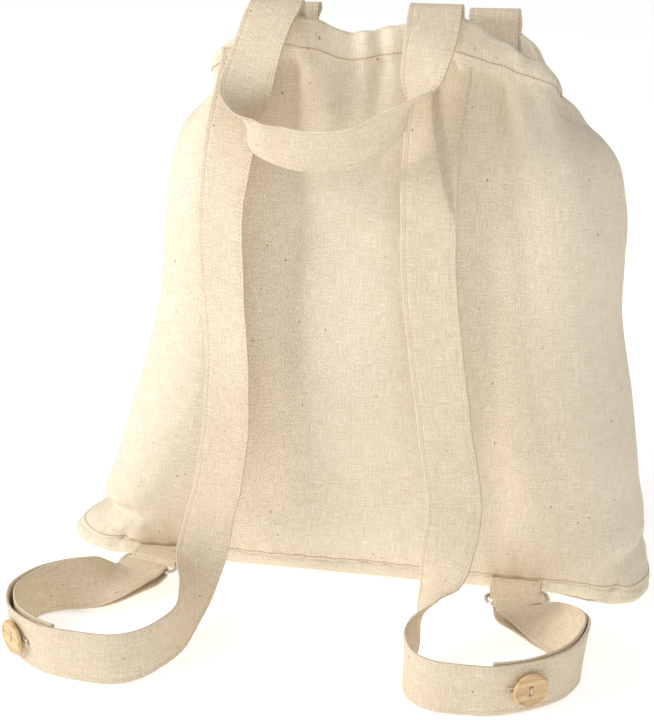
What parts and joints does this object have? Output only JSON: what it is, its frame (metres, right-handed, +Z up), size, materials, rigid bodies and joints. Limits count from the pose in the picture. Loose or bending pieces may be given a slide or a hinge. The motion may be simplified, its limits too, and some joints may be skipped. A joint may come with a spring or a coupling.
{
  "type": "drawstring backpack",
  "caption": "Canvas drawstring backpack with a gathered mouth, flat pull loops, flat shoulder straps on metal rings and wooden buttons.",
  "frame": {"origin": "middle of the base on the ground", "axes": "+X to the right when facing the back panel with the straps, the straps' side faces -Y, +Z up"},
  "size_m": [0.4433, 0.3461, 0.4313],
  "materials": {
    "panels": "matt unbleached canvas",
    "straps": "matt unbleached canvas, two ply",
    "wood": "satin turned wood",
    "thread": "matt cotton thread",
    "ring_metal": "plated steel wire"
  },
  "bodies": {
    "bag": {"back_panel": "panels", "front_panel": "panels", "base_panel": "panels", "back_channel": "panels", "front_channel": "panels", "back_draw_band": "straps", "front_draw_band": "straps", "back_loop_roots": "straps", "front_loop_roots": "straps", "left_shoulder_strap": "straps", "right_shoulder_strap": "straps", "left_tab": "straps", "right_tab": "straps"},
    "back_pull": {"back_pull_loop": "straps"},
    "front_pull": {"front_pull_loop": "straps"},
    "left_lower_strap": {"left_strap_loop": "straps", "left_strap_end": "straps"},
    "right_lower_strap": {"right_strap_loop": "straps", "right_strap_end": "straps"},
    "left_ring": {"left_ring": "ring_metal"},
    "right_ring": {"right_ring": "ring_metal"},
    "left_button": {"left_button": "wood", "left_button_thread": "thread"},
    "right_button": {"right_button": "wood", "right_button_thread": "thread"}
  },
  "joints": [
    {"name": "back_pull_loop_fold", "type": "hinge", "parent": "bag", "child": "back_pull", "pos_m": [0, -0.037, 0.4305], "axis": [-1, 0, 0], "range_deg": [0, 140]},
    {"name": "front_pull_loop_fold", "type": "hinge", "parent": "bag", "child": "front_pull", "pos_m": [0, 0.037, 0.4165], "axis": [1, 0, 0], "range_deg": [0, 140]},
    {"name": "left_loop_lift", "type": "hinge", "parent": "bag", "child": "left_lower_strap", "pos_m": [-0.15753, -0.08963, 0.011], "axis": [-0.9781, 0.2079, 0], "range_deg": [0, 16]},
    {"name": "right_loop_lift", "type": "hinge", "parent": "bag", "child": "right_lower_strap", "pos_m": [0.1254, -0.08842, 0.011], "axis": [-0.9659, -0.2588, 0], "range_deg": [0, 16]},
    {"name": "left_ring_tilt", "type": "hinge", "parent": "bag", "child": "left_ring", "pos_m": [-0.154, -0.073, 0.01], "axis": [-0.9781, 0.2079, 0], "range_deg": [0, 6]},
    {"name": "right_ring_tilt", "type": "hinge", "parent": "bag", "child": "right_ring", "pos_m": [0.121, -0.072, 0.01], "axis": [-0.9659, -0.2588, 0], "range_deg": [0, 6]},
    {"name": "left_button_turn", "type": "hinge", "parent": "left_lower_strap", "child": "left_button", "pos_m": [-0.21069, -0.21048, 0.02], "axis": [-0.6483, -0.7614, 0], "range_deg": [-25, 25], "stiffness_Nm_per_rad": 0.002},
    {"name": "right_button_turn", "type": "hinge", "parent": "right_lower_strap", "child": "right_button", "pos_m": [0.13982, -0.20711, 0.02], "axis": [0.5078, -0.8615, 0], "range_deg": [-25, 25], "stiffness_Nm_per_rad": 0.002}
  ]
}
